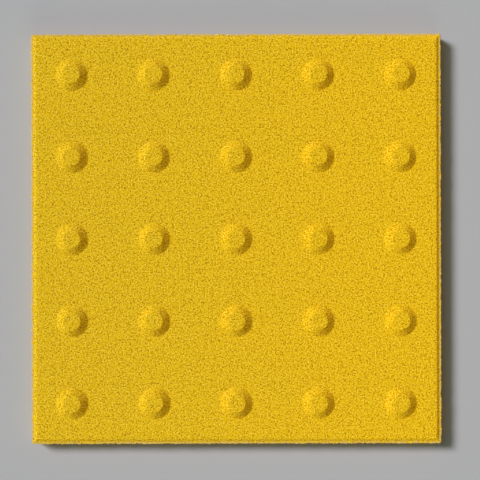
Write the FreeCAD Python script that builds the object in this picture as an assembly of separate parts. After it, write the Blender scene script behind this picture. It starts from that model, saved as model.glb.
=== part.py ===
import FreeCAD
import Part
import os

# A square tactile paving slab, pressed in concrete as one piece. It lies on its bedding face.
# Its walking face carries a square grid of truncated domes, and a chamfer and a narrow land run round it.
# Millimetres. +Z is up and the origin is the middle of the bedding face.

# The slab is a whole number of pitches wide, so that the dome grid runs on into the next slab.
DOME_PITCH = 60.0
DOMES_PER_SIDE = 5

# One truncated dome, its two diameters taken where the plain cone meets the flats.
# Its top edge is rounded, over the stated reach on the flat and on the flank. Its foot is crisp.
DOME_BASE_DIAMETER = 23.5
DOME_TOP_DIAMETER = 12.5
DOME_HEIGHT = 5.0
DOME_TOP_ROUND = 0.6

# The slab, from bedding face to walking face, and its edge.
SLAB_THICKNESS = 16.0
LAND_WIDTH = 1.6
CHAMFER_WIDTH = 2.0
CHAMFER_DEPTH = 2.0
CORNER_RADIUS = 1.5

SLAB_SIDE = DOMES_PER_SIDE * DOME_PITCH
UP = FreeCAD.Vector(0, 0, 1)
CENTRE = FreeCAD.Vector(0, 0, 0)


def edge_section():
    """The slab's upright section through its middle: two sides, lands and chamfers under one flat face."""
    half = SLAB_SIDE / 2
    land_height = SLAB_THICKNESS - CHAMFER_DEPTH
    right = [
        (half, 0),
        (half, land_height),
        (half - LAND_WIDTH, land_height),
        (half - LAND_WIDTH - CHAMFER_WIDTH, SLAB_THICKNESS),
    ]
    left = [(-across, up) for across, up in reversed(right)]
    corners = [FreeCAD.Vector(across, half, up) for across, up in right + left]
    return Part.Face(Part.makePolygon(corners + corners[:1]))


def slab_body():
    """The section drawn through the slab both ways, so that land and chamfer meet in mitres at the corners."""
    one_way = edge_section().extrude(FreeCAD.Vector(0, -SLAB_SIDE, 0))
    other_way = one_way.copy()
    other_way.rotate(CENTRE, UP, 90)
    return one_way.common(other_way)


def mould_prism():
    """The inside of the mould: an upright square prism whose four corners are rounded."""
    corner = FreeCAD.Vector(-SLAB_SIDE / 2, -SLAB_SIDE / 2, 0)
    block = Part.makeBox(SLAB_SIDE, SLAB_SIDE, SLAB_THICKNESS, corner)
    upright = [edge for edge in block.Edges if edge.BoundBox.ZLength > SLAB_THICKNESS / 2]
    return block.makeFillet(CORNER_RADIUS, upright)


def dome_profile(root_depth):
    """Half the upright section of a dome: root, straight flank, rounded top edge and flat top."""

    def at(radius, height):
        return FreeCAD.Vector(radius, 0, height)

    root_rim = at(DOME_BASE_DIAMETER / 2, -root_depth)
    foot = at(DOME_BASE_DIAMETER / 2, 0)
    corner = at(DOME_TOP_DIAMETER / 2, DOME_HEIGHT)
    flank_end = corner + (foot - corner).normalize() * DOME_TOP_ROUND
    top_rim = corner - at(DOME_TOP_ROUND, 0)
    top_round = Part.BezierCurve()
    top_round.setPoles([flank_end, corner, top_rim])
    edges = [
        Part.makeLine(at(0, -root_depth), root_rim),
        Part.makeLine(root_rim, foot),
        Part.makeLine(foot, flank_end),
        top_round.toShape(),
        Part.makeLine(top_rim, at(0, DOME_HEIGHT)),
        Part.makeLine(at(0, DOME_HEIGHT), at(0, -root_depth)),
    ]
    return Part.Face(Part.Wire(edges))


def dome_field():
    """One turned dome, repeated over the square grid with its root sunk in the slab."""
    dome = dome_profile(SLAB_THICKNESS / 2).revolve(CENTRE, UP, 360)
    first = -(DOMES_PER_SIDE - 1) * DOME_PITCH / 2
    steps = [first + DOME_PITCH * number for number in range(DOMES_PER_SIDE)]
    return [dome.translated(FreeCAD.Vector(x, y, SLAB_THICKNESS)) for x in steps for y in steps]


def tactile_slab():
    """The whole slab as one solid."""
    plain_slab = slab_body().common(mould_prism())
    return plain_slab.fuse(dome_field()).removeSplitter().Solids[0]


os.makedirs("parts", exist_ok=True)
tactile_slab().exportStep("parts/tactile_slab.step")
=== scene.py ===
import math

import bpy
import numpy as np
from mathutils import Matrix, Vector


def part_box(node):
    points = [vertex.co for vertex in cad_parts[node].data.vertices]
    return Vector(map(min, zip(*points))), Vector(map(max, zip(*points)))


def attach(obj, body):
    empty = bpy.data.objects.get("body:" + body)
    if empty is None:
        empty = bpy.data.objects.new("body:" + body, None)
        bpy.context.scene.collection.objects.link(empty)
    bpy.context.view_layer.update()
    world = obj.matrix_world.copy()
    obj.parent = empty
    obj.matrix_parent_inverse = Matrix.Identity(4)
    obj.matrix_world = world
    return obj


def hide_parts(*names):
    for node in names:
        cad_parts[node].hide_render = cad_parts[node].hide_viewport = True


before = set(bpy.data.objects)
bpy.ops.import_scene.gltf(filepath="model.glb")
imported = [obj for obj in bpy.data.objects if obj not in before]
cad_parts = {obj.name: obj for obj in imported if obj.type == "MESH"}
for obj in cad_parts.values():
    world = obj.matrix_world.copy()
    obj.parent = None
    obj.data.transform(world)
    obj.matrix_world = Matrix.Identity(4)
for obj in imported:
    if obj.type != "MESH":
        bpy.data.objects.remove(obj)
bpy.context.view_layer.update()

# The slab is one piece of fine sandy concrete, coloured yellow right through and pressed face up in a
# square mould. Recesses in the press shoe leave the flat-topped domes, and the shoe's bevelled rim, a
# little smaller than the mould, leaves a chamfer and a narrow land round the walking face.
slab_low, slab_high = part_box("tactile_slab")
half_side = (slab_high.x - slab_low.x) / 2
dome_height = 0.005
face_level = slab_high.z - dome_height
dome_pitch = 0.060
domes_per_side = 5
dome_foot_radius = 0.01175
dome_top_radius = 0.00625
land_width = 0.0016
chamfer_width = 0.0020
chamfer_depth = 0.0020
corner_radius = 0.0015
edge_ease = 0.0006
land_level = face_level - chamfer_depth
half_face = half_side - land_width - chamfer_width - edge_ease


def stretches(*ends_and_steps):
    """Distances from 0 up. Each pair of an end and a number of steps divides the stretch that leads up to
    that end into equal steps."""
    starts = [0.0] + [end for end, steps in ends_and_steps]
    parts = [np.linspace(start, end, steps + 1) for start, (end, steps) in zip(starts, ends_and_steps)]
    return np.unique(np.round(np.concatenate(parts), 7))


def plan_lines():
    """Places of the plan grid's lines along one side of the walking face: the same distances both ways from
    every dome's middle, close together over its rounded edges and evenly spaced beyond its foot."""
    over_dome = [
        (dome_top_radius - edge_ease, 3),
        (dome_top_radius + edge_ease, 4),
        (dome_foot_radius - edge_ease, 3),
        (dome_foot_radius + edge_ease, 3),
    ]
    middles = dome_pitch * np.arange(domes_per_side // 2 + 1)
    halfway = stretches(*over_dome, (dome_pitch / 2, 11))
    to_edge = stretches(*over_dome, (half_face - middles[-1], 9))
    inner = [middle + way * halfway for middle in middles for way in (-1, 1)][:-1]
    lines = np.concatenate(inner + [middles[-1] + to_edge])
    return np.unique(np.round(np.concatenate([-lines, lines]), 7))


def onto_rings(across, along, share):
    """Slides each point along its ray from the middle until its distance is the larger of its two offsets,
    so that square rings become round ones. A share of 1 goes all the way and 0 leaves the point alone."""
    ring = np.maximum(abs(across), abs(along))
    scale = 1 + share * (ring / np.maximum(np.hypot(across, along), 1e-9) - 1)
    return across * scale, along * scale


def rounded_ramp(t, ease):
    """Climbs from 0 to 1 as t does and is level outside, with both corners rounded: half of one, plus the
    hypotenuse of t and ease, less the hypotenuse of 1 - t and ease."""
    return (1 + np.hypot(t, ease) - np.hypot(1 - t, ease)) / 2


def eased(t):
    """Three times the square less twice the cube of t, which is held between 0 and 1."""
    t = np.clip(t, 0, 1)
    return t**2 * (3 - 2 * t)


def lumps(x, y, cell, seed):
    """Random heights from -1 to 1 on a square lattice of that cell, eased between the four nearest ones."""
    side = 311
    lattice = np.random.default_rng(seed).uniform(-1, 1, (side, side))
    column, row = np.floor(x / cell).astype(int), np.floor(y / cell).astype(int)
    across, along = eased(x / cell - column), eased(y / cell - row)

    def at(columns_on, rows_on):
        return lattice[(column + columns_on) % side, (row + rows_on) % side]

    near = at(0, 0) * (1 - across) + at(1, 0) * across
    far = at(0, 1) * (1 - across) + at(1, 1) * across
    return near * (1 - along) + far * along


def bare_height(x, y, inside):
    """Height at a place that far inside the mould wall, before any dome: the land, plus the rounded climb up
    the chamfer, less the worn outer corner of the land, plus a fine and a slow unevenness, plus a roughness
    that fades out from the mould wall to the top of the chamfer."""
    chamfer_round = 0.18
    worn = edge_ease / 2
    edge_rough, fine_rough, slow_rough = 0.00016, 0.00004, 0.00005
    climb = rounded_ramp((inside - land_width) / chamfer_width, chamfer_round)
    corner = np.clip(1 - inside / worn, 0, 1) ** 2 * worn
    near_wall = np.clip(1 - inside / (land_width + chamfer_width), 0, 1)
    rough = edge_rough * near_wall * lumps(x, y, cell=0.0008, seed=8)
    rough += fine_rough * lumps(x, y, cell=0.0021, seed=3) + slow_rough * lumps(x, y, cell=0.009, seed=4)
    return land_level + chamfer_depth * climb - corner + rough


def walking_face(lines):
    """Points over the walking face as far as the chamfer. The plan grid is drawn into circles round the
    domes, and near the face's edge its lines slide to an even spacing. The height is the bare face plus the
    rounded climb of the dome."""
    dome_round = 0.045
    ring_fade = dome_pitch / 6
    slide_reach = 0.004
    x, y = np.meshgrid(lines, lines, indexing="ij")
    last = domes_per_side // 2
    middle_x, middle_y = (dome_pitch * np.clip(np.round(v / dome_pitch), -last, last) for v in (x, y))
    ring = np.maximum(abs(x - middle_x), abs(y - middle_y))
    past_foot = eased((ring - dome_foot_radius - edge_ease) / ring_fade)
    across, along = onto_rings(x - middle_x, y - middle_y, 1 - past_foot)
    up_flank = (dome_foot_radius - np.hypot(across, along)) / (dome_foot_radius - dome_top_radius)
    x, y = middle_x + across, middle_y + along
    shift = np.linspace(-half_face, half_face, len(lines)) - lines
    slide = 1 - eased((half_face - abs(lines)) / slide_reach)
    x, y = x + shift[:, None] * slide[None, :], y + shift[None, :] * slide[:, None]
    bare = bare_height(x, y, half_side - np.maximum(abs(x), abs(y)))
    return np.stack([x, y, bare + dome_height * rounded_ramp(up_flank, dome_round)], axis=-1)


def edge_profile():
    """Insets from the mould wall, and levels, row by row: down the chamfer and across the land, all written
    at the land's level, then down the wall, round the lower arris and in under the bed."""
    over_land = np.array([0.0039, 0.00355, 0.0031, 0.0025, 0.0020, 0.0016, 0.0011, 0.0006, 0.00025, 0.0])
    first_drop, lower_arris, bed_inset = 0.0008, 0.00015, 0.04
    down_wall = np.linspace(land_level - first_drop, edge_ease, 7)
    insets = np.concatenate([over_land, 0 * down_wall, [lower_arris, edge_ease, bed_inset]])
    levels = np.concatenate([land_level + 0 * over_land, down_wall, [lower_arris, 0, 0]])
    return insets[:, None], levels[:, None]


def broken_arris(rim_x, rim_y, insets, levels):
    """How far the edge is broken inwards, as a pressed arris crumbles when the slab leaves the mould: a
    grain or so in and out along the rim, plus a chip wherever a slower wave is above half its height. That
    fades out across the land and down the wall, which has a roughness of its own."""
    grain_bite, chip_bite, wall_rough = 0.00045, 0.0008, 0.0002
    fade_depth = 0.004
    mean_reach = half_side * 1.1
    bite = grain_bite * lumps(rim_x, rim_y, cell=0.0006, seed=5)
    bite += chip_bite * np.clip(lumps(rim_x, rim_y, cell=0.0026, seed=6) - 0.5, 0, 1)
    near_rim = np.clip(1 - insets / land_width - (land_level - levels) / fade_depth, 0, 1)
    run = np.arctan2(rim_y, rim_x) * mean_reach
    wall = (insets == 0) * wall_rough * lumps(run + 0 * levels, levels + 0 * run, cell=0.0013, seed=7)
    return bite * near_rim - wall * (1 - near_rim)


def edge_rings(loop):
    """The edge's profile carried round a square loop, with its corners drawn into arcs and its arris broken.
    The second result is the plan with the wall laid out flat round it, for the pattern to follow. The third
    is how near the rim a place on the land is."""
    insets, levels = edge_profile()
    on_land = levels == land_level
    square = loop / abs(loop).max()
    x, y = (square[:, k] * (half_side - insets) for k in (0, 1))
    past_x, past_y = (np.maximum(abs(v) - half_side + corner_radius, 0) for v in (x, y))
    round_x, round_y = onto_rings(past_x, past_y, 1.0)
    x, y = x - np.sign(x) * (past_x - round_x), y - np.sign(y) * (past_y - round_y)
    z = np.where(on_land, bare_height(x, y, insets), levels)
    rim_x, rim_y = square.T * half_side
    inwards = broken_arris(rim_x, rim_y, insets, levels)
    faces_x = abs(rim_x) >= abs(rim_y)
    x, y = x - np.sign(x) * inwards * faces_x, y - np.sign(y) * inwards * ~faces_x
    laid_out = np.where(insets < edge_ease, land_level - levels, 0) - insets
    net = np.stack([square[:, k] * (half_side + laid_out) for k in (0, 1)], axis=-1)
    pale_rim = np.clip(1 - insets / (land_width + edge_ease), 0, 1) * on_land + 0 * x
    return np.stack([x, y, z], axis=-1), net, pale_rim


def slab_mesh():
    """One closed surface: the face's grid, a row of joins from its edge to a loop twice as fine, the rings
    on that loop, and a fan to the middle of the bed. The net and the pale rim's share are kept as
    attributes."""
    face = walking_face(plan_lines())
    count = len(face)
    index = np.arange(count * count).reshape(count, count)
    face_quads = np.stack([index[:-1, :-1], index[1:, :-1], index[1:, 1:], index[:-1, 1:]], axis=-1)
    face = face.reshape(-1, 3)
    loop = np.concatenate([index[:-1, 0], index[-1, :-1], index[:0:-1, -1], index[0, :0:-1]])
    coarse = face[loop, :2]
    fine = np.stack([coarse, (coarse + np.roll(coarse, -1, axis=0)) / 2], axis=1).reshape(-1, 2)
    rings, ring_net, ring_pale_rim = edge_rings(fine)
    row = len(face) + np.arange(rings.shape[0] * len(fine)).reshape(rings.shape[0], -1)
    after = np.roll(row, -1, axis=1)
    ring_quads = np.stack([row[:-1], row[1:], after[1:], after[:-1]], axis=-1)
    joins = np.stack([loop, row[0, 0::2], row[0, 1::2], after[0, 1::2], np.roll(loop, -1)], axis=-1)
    points = np.concatenate([face, rings.reshape(-1, 3), [[0, 0, 0]]])
    fan = np.stack([row[-1], np.full(len(fine), len(points) - 1), after[-1]], axis=-1)
    quads = np.concatenate([face_quads.reshape(-1, 4), ring_quads.reshape(-1, 4)])
    mesh = bpy.data.meshes.new("tactile_slab_concrete")
    mesh.from_pydata(points.tolist(), [], quads.tolist() + joins.tolist() + fan.tolist())
    mesh.polygons.foreach_set("use_smooth", np.ones(len(mesh.polygons), dtype=bool))
    net = np.concatenate([face[:, :2], ring_net.reshape(-1, 2), [[0, 0]]])
    pale_rim = np.concatenate([np.zeros(len(face)), ring_pale_rim.ravel(), [0]])
    mesh.attributes.new("net", "FLOAT2", "POINT").data.foreach_set("vector", net.ravel())
    mesh.attributes.new("pale_rim", "FLOAT", "POINT").data.foreach_set("value", pale_rim)
    return mesh


class Wire:
    """One output of a shader node. An operator between wires, or a wire and a number, adds a Math node."""

    def __init__(self, socket):
        self.socket = socket

    def node(self, kind, settings, sockets, output=0):
        """Adds a node of that type to the tree, applies its settings, then fills or links its sockets."""
        tree = self.socket.id_data
        node = tree.nodes.new(kind)
        for name, value in settings.items():
            setattr(node, name, value)
        for name, value in sockets.items():
            if isinstance(value, Wire):
                tree.links.new(value.socket, node.inputs[name])
            else:
                node.inputs[name].default_value = value
        return Wire(node.outputs[output])

    def math(self, operation, *values):
        """A Math node on those values."""
        return self.node("ShaderNodeMath", {"operation": operation}, dict(enumerate(values)))

    def __add__(self, other):
        return self.math("ADD", self, other)

    def __sub__(self, other):
        return self.math("SUBTRACT", self, other)

    def __mul__(self, other):
        return self.math("MULTIPLY", self, other)

    def __rsub__(self, other):
        return self.math("SUBTRACT", other, self)

    __radd__ = __add__
    __rmul__ = __mul__

    def band(self, low, high):
        """0 at low and before it, 1 at high and past it, eased between. Low may be the larger number."""
        settings = {"interpolation_type": "SMOOTHSTEP"}
        return self.node("ShaderNodeMapRange", settings, {"Value": self, "From Min": low, "From Max": high})

    def tint(self, colour, other):
        """From colour, where this wire is 0, to the other colour, where it is 1."""
        settings = {"data_type": "RGBA", "clamp_factor": True}
        return self.node("ShaderNodeMix", settings, {0: self, 6: colour, 7: other}, output=2)


def yellow_concrete():
    """Sand grains about a millimetre across, each of its own tone in yellow paste, the palest of them
    quartz. Small round pits are painted dark, as shade in them. A slow painted light runs across from
    the left side, cooler and dimmer, to the right one, warmer and brighter. The land is paler and duller
    near the rim, and a thin warm dust shows at low angles."""
    deep_grain = (0.545, 0.300, 0.0, 1)
    pale_grain = (0.872, 0.612, 0.012, 1)
    quartz = (0.91, 0.69, 0.070, 1)
    # Painted shade: the colour of the shade inside the small pits.
    painted_pit_shade = (0.28, 0.105, 0.0, 1)
    # Painted light: cooler and dimmer on the left side, warmer and brighter on the right.
    painted_cool_left = (0.96, 0.96, 1.2, 1)
    painted_warm_right = (1.015, 0.97, 0.86, 1)
    # A paler, duller colour for the land near the rim.
    pale_rim_colour = (0.62, 0.475, 0.165, 1)
    dust = (1.0, 0.32, 0.0, 1)
    grain_size = 0.0010
    mottle_size = 0.007
    pit_spacing = 0.0022
    pit_patch = 0.004
    pale_rim_patch = 0.0025
    material = bpy.data.materials.new("yellow_concrete")
    material.use_nodes = True
    tree = material.node_tree
    shader = tree.nodes["Principled BSDF"]
    place = Wire(tree.nodes.new("ShaderNodeTexCoord").outputs["Object"])
    net = place.node("ShaderNodeAttribute", {"attribute_name": "net"}, {}, output="Vector")
    pale_rim = place.node("ShaderNodeAttribute", {"attribute_name": "pale_rim"}, {}, output="Fac")

    def noise(size, detail):
        """Flat noise on the net, its lumps about that size."""
        sockets = {"Vector": net, "Scale": 1 / size, "Detail": detail, "Roughness": 0.55}
        return place.node("ShaderNodeTexNoise", {"noise_dimensions": "2D"}, sockets)

    grain = noise(grain_size, 0.0)
    colour = (grain * 1.9 + noise(mottle_size, 2.0) * 0.15 - 0.31).tint(deep_grain, pale_grain)
    colour = grain.band(0.60, 0.85).tint(colour, quartz)
    cells = {"Vector": net, "Scale": 1 / pit_spacing}
    pit = place.node("ShaderNodeTexVoronoi", {"voronoi_dimensions": "2D"}, cells).band(0.30, 0.10)
    pit = pit * noise(pit_patch, 1.0).band(0.35, 0.6)
    # Painted shade darkens the pits.
    colour = (pit * 0.74).tint(colour, painted_pit_shade)
    across = place.node("ShaderNodeSeparateXYZ", {}, {"Vector": place}, output="X")
    # Painted light across the face, from cool on the left to warm on the right.
    painted_light_wash = across.band(-half_side, half_side).tint(painted_cool_left, painted_warm_right)
    colour = colour.node("ShaderNodeVectorMath", {"operation": "MULTIPLY"}, {0: colour, 1: painted_light_wash})
    # The land near the rim is tinted paler and duller, in patches.
    colour = (pale_rim * noise(pale_rim_patch, 1.0).band(0.3, 0.6)).tint(colour, pale_rim_colour)
    relief = {"Strength": 0.2, "Distance": 0.0003, "Height": grain - pit}
    tree.links.new(colour.socket, shader.inputs["Base Color"])
    tree.links.new((grain * 0.12 + 0.84).socket, shader.inputs["Roughness"])
    tree.links.new(place.node("ShaderNodeBump", {}, relief).socket, shader.inputs["Normal"])
    shader.inputs["Diffuse Roughness"].default_value = 0.35
    shader.inputs["Specular IOR Level"].default_value = 0.05
    shader.inputs["Sheen Weight"].default_value = 0.22
    shader.inputs["Sheen Roughness"].default_value = 0.7
    shader.inputs["Sheen Tint"].default_value = dust
    return material


slab = bpy.data.objects.new("tactile_slab_concrete", slab_mesh())
slab.data.materials.append(yellow_concrete())
bpy.context.scene.collection.objects.link(slab)
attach(slab, "root")
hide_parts("tactile_slab")

# The floor is a plain sheet of pale grey card, wide enough to fill the view from every side.
# It is level with the bedding face and keeps the slab's shadow.
floor_reach = 4.0
card_grey = (0.408, 0.411, 0.416, 1)
floor_corners = [(x * floor_reach, y * floor_reach, 0) for x, y in ((-1, -1), (1, -1), (1, 1), (-1, 1))]
floor_mesh = bpy.data.meshes.new("floor")
floor_mesh.from_pydata(floor_corners, [], [(0, 1, 2, 3)])
card = bpy.data.materials.new("grey_card")
card.use_nodes = True
card_shader = card.node_tree.nodes["Principled BSDF"]
card_shader.inputs["Base Color"].default_value = card_grey
card_shader.inputs["Roughness"].default_value = 0.9
card_shader.inputs["Specular IOR Level"].default_value = 0.1
floor_mesh.materials.append(card)
floor = bpy.data.objects.new("floor", floor_mesh)
bpy.context.scene.collection.objects.link(floor)

# The light is a soft lamp on the left and a little behind, a wider and weaker one above it, another low
# in front, a faint warm one that grazes the ground from the right, and an even room. On level ground they
# add up to white of strength one. Past the floor the room is seen as pale as the card.
room_share = Vector((0.047, 0.065, 0.044))
front_share = Vector((0.075, 0.090, 0.065))
graze_share = Vector((0.015, 0.0032, 0.0005))
upper_share = Vector((0.09, 0.09, 0.09))
key_share = Vector((1, 1, 1)) - room_share - front_share - graze_share - upper_share


def lamp(name, azimuth, elevation, spread, share):
    """A distant disc of light, all its angles in degrees and the spread taken across it. Its energy is pi
    over the sine of its elevation, so that the share is what it adds on level ground."""
    azimuth, elevation, spread = map(math.radians, (azimuth, elevation, spread))
    level = math.cos(elevation)
    way = Vector((level * math.cos(azimuth), level * math.sin(azimuth), math.sin(elevation)))
    light = bpy.data.lights.new(name, "SUN")
    light.energy = math.pi / math.sin(elevation)
    light.angle = spread
    light.color = share
    holder = bpy.data.objects.new(name, light)
    holder.rotation_euler = way.to_track_quat("Z", "Y").to_euler()
    bpy.context.scene.collection.objects.link(holder)


lamp("key_lamp", azimuth=151, elevation=44.8, spread=18, share=key_share)
lamp("upper_lamp", azimuth=151, elevation=62, spread=30, share=upper_share)
lamp("front_lamp", azimuth=-85, elevation=25, spread=40, share=front_share)
lamp("graze_lamp", azimuth=-20, elevation=5, spread=9, share=graze_share)
room = bpy.data.worlds.new("room")
room.use_nodes = True
ray = room.node_tree.nodes.new("ShaderNodeLightPath").outputs
seen = Wire(ray["Is Camera Ray"]) + Wire(ray["Is Glossy Ray"]) + Wire(ray["Is Transmission Ray"])
backdrop = seen.tint((*room_share, 1), card_grey)
room.node_tree.links.new(backdrop.socket, room.node_tree.nodes["Background"].inputs["Color"])
bpy.context.scene.world = room

# The camera looks straight down from about a metre, with the slab a little left of the picture's middle.
# Its lens follows from the size of a pixel on the walking face.
picture_width = 480
sensor_width = 36.0
metres_per_pixel = 0.000731
eye_height = 0.960
slab_middle_pixel = (235.85, 238.38)
slab_turn = math.radians(0.13)
camera = bpy.data.cameras.new("camera")
camera.sensor_width = sensor_width
camera.lens = sensor_width * eye_height / (picture_width * metres_per_pixel)
viewer = bpy.data.objects.new("camera", camera)
picture_middle = (picture_width - 1) / 2
viewer.location = (
    (picture_middle - slab_middle_pixel[0]) * metres_per_pixel,
    (slab_middle_pixel[1] - picture_middle) * metres_per_pixel,
    face_level + eye_height,
)
viewer.rotation_euler = (0, 0, -slab_turn)
bpy.context.scene.collection.objects.link(viewer)
bpy.context.scene.camera = viewer
bpy.context.scene.view_settings.view_transform = "Standard"
